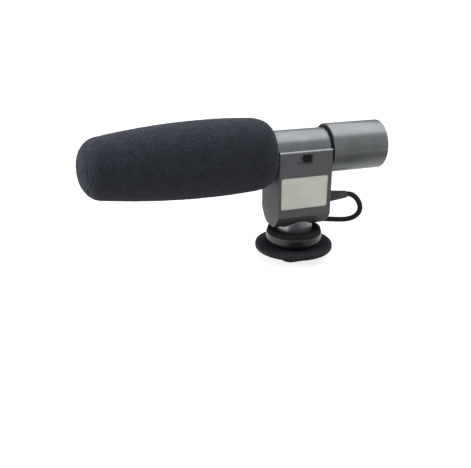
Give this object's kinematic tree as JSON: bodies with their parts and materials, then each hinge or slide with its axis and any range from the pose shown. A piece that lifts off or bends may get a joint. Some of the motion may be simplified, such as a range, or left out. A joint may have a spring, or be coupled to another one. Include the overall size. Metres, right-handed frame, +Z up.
{
  "type": "on-camera microphone",
  "caption": "Compact on-camera condenser microphone with a long foam windscreen, stem housing with slide switch, screw-off battery cap, locking shoe mount and a coiled lead with a jack plug.",
  "frame": {"origin": "centre of the shoe foot's underside", "axes": "+X along the microphone's axis towards the battery cap, -X towards the foam's tip, -Y towards the side with the switch and the name plate, +Z up"},
  "size_m": [0.129, 0.0744, 0.0631],
  "materials": {
    "foam": "open-cell foam, matt",
    "gun_metal_tube": "satin gun-metal finish",
    "barrel_metal": "satin anodised",
    "nose_metal": "satin black",
    "housing_plastic": "fine matt dark grey",
    "black_plastic": "satin black",
    "grey_plastic": "matt grey",
    "black_rubber": "matt black",
    "mount_metal": "satin black",
    "bright_steel": "bright",
    "brass": "plain",
    "plate_metal": "satin silver",
    "board": "green solder mask",
    "cell_jacket": "plain jacket"
  },
  "bodies": {
    "microphone": {"slotted_barrel": "barrel_metal", "nose_cap": "nose_metal", "capsule_holder": "black_rubber", "capsule": "bright_steel", "main_tube": "gun_metal_tube", "front_contact": "brass", "battery_sleeve": "black_plastic", "battery_cell": "cell_jacket", "cap_seal": "black_rubber", "housing": "housing_plastic", "side_cover": "housing_plastic", "cover_screw_1": "mount_metal", "cover_screw_2": "mount_metal", "cover_screw_3": "mount_metal", "cover_screw_4": "mount_metal", "name_plate": "plate_metal", "switch_body": "grey_plastic", "circuit_board": "board", "board_screw_1": "bright_steel", "board_screw_2": "bright_steel", "output_capacitor": "mount_metal", "amplifier_chip": "black_plastic", "strain_relief": "black_rubber", "mount_stem": "mount_metal", "stem_nut": "bright_steel", "shoe_foot": "mount_metal", "foot_stud": "bright_steel", "cord_first_stretch": "black_rubber", "cord_coil": "black_rubber", "cord_second_stretch": "black_rubber", "cord_tie": "black_rubber", "plug_relief": "black_rubber", "plug_shell": "black_plastic", "plug_pin": "bright_steel"},
    "knob": {"switch_knob": "black_plastic"},
    "pad": {"clamp_pad": "black_rubber"},
    "wheel": {"lock_wheel": "black_plastic"},
    "cap_carrier": {"cap_contact": "brass", "cap_spring": "bright_steel"},
    "cap": {"battery_cap": "gun_metal_tube"},
    "foam": {"windscreen": "foam"}
  },
  "joints": [
    {"name": "switch_slide", "type": "slide", "parent": "microphone", "child": "knob", "axis": [-1, 0, 0], "range_m": [0, 0.0024]},
    {"name": "pad_lower", "type": "slide", "parent": "microphone", "child": "pad", "axis": [0, 0, -1], "range_m": [0, 0.0012]},
    {"name": "wheel_turn", "type": "hinge", "parent": "pad", "child": "wheel", "pos_m": [0, 0, 0.005], "axis": [0, 0, -1], "range_deg": [0, 540]},
    {"name": "cap_advance", "type": "slide", "parent": "microphone", "child": "cap_carrier", "axis": [1, 0, 0], "range_m": [0, 0.008]},
    {"name": "cap_turn", "type": "hinge", "parent": "cap_carrier", "child": "cap", "pos_m": [0.025, 0, 0.0475], "axis": [1, 0, 0], "range_deg": [0, 1440]},
    {"name": "foam_pull", "type": "slide", "parent": "microphone", "child": "foam", "axis": [-1, 0, 0], "range_m": [0, 0.08]}
  ],
  "couplings": [
    {"joint": "pad_lower", "follows": "wheel_turn", "m_per_rad": 0.0001273},
    {"joint": "cap_advance", "follows": "cap_turn", "m_per_rad": 0.0003183}
  ]
}
